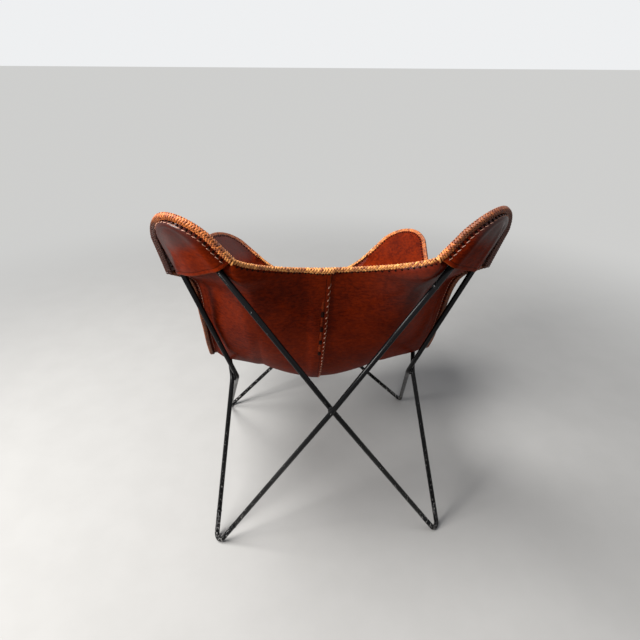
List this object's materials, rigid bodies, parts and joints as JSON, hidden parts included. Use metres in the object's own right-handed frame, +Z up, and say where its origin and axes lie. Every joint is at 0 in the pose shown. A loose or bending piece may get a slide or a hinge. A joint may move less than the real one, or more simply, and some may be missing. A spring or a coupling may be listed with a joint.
{
  "type": "butterfly sling chair",
  "caption": "Low lounge chair: a laced leather sling hung by corner pockets on the horns of a frame of bent, crossed steel rods.",
  "frame": {"origin": "middle of the bounding box, on the floor", "axes": "+Z up, the sitter faces -Y, the back horns point to +Y, the sitter's left is +X"},
  "size_m": [0.6952, 0.7624, 0.8675],
  "materials": {
    "sling_leather": "thick waxed saddle leather, cognac to red-brown, soft gloss",
    "lacing_leather": "lighter tan lacing thong",
    "rod_paint": "semi-gloss black paint",
    "weld_paint": "painted weld bead, a little rougher"
  },
  "bodies": {
    "root": {"sling_left": "sling_leather", "sling_right": "sling_leather", "rear_pocket_left": "sling_leather", "rear_pocket_right": "sling_leather", "front_pocket_left": "sling_leather", "front_pocket_right": "sling_leather", "rear_pocket_lace_left": "lacing_leather", "rear_pocket_lace_right": "lacing_leather", "front_pocket_lace_left": "lacing_leather", "front_pocket_lace_right": "lacing_leather", "back_edge_lace": "lacing_leather", "front_edge_lace": "lacing_leather", "side_edge_lace_left": "lacing_leather", "side_edge_lace_right": "lacing_leather", "rear_bow_left": "rod_paint", "rear_bow_right": "rod_paint", "front_bow_left": "rod_paint", "front_bow_right": "rod_paint", "rear_foot_left": "rod_paint", "rear_foot_right": "rod_paint", "front_foot_left": "rod_paint", "front_foot_right": "rod_paint", "back_rod_left_foot": "rod_paint", "back_rod_right_foot": "rod_paint", "front_rod_left_foot": "rod_paint", "front_rod_right_foot": "rod_paint", "side_rod_left_rear_foot": "rod_paint", "side_rod_left_front_foot": "rod_paint", "side_rod_right_rear_foot": "rod_paint", "side_rod_right_front_foot": "rod_paint", "weld_back": "weld_paint", "weld_front": "weld_paint", "weld_left": "weld_paint", "weld_right": "weld_paint"}
  },
  "joints": []
}
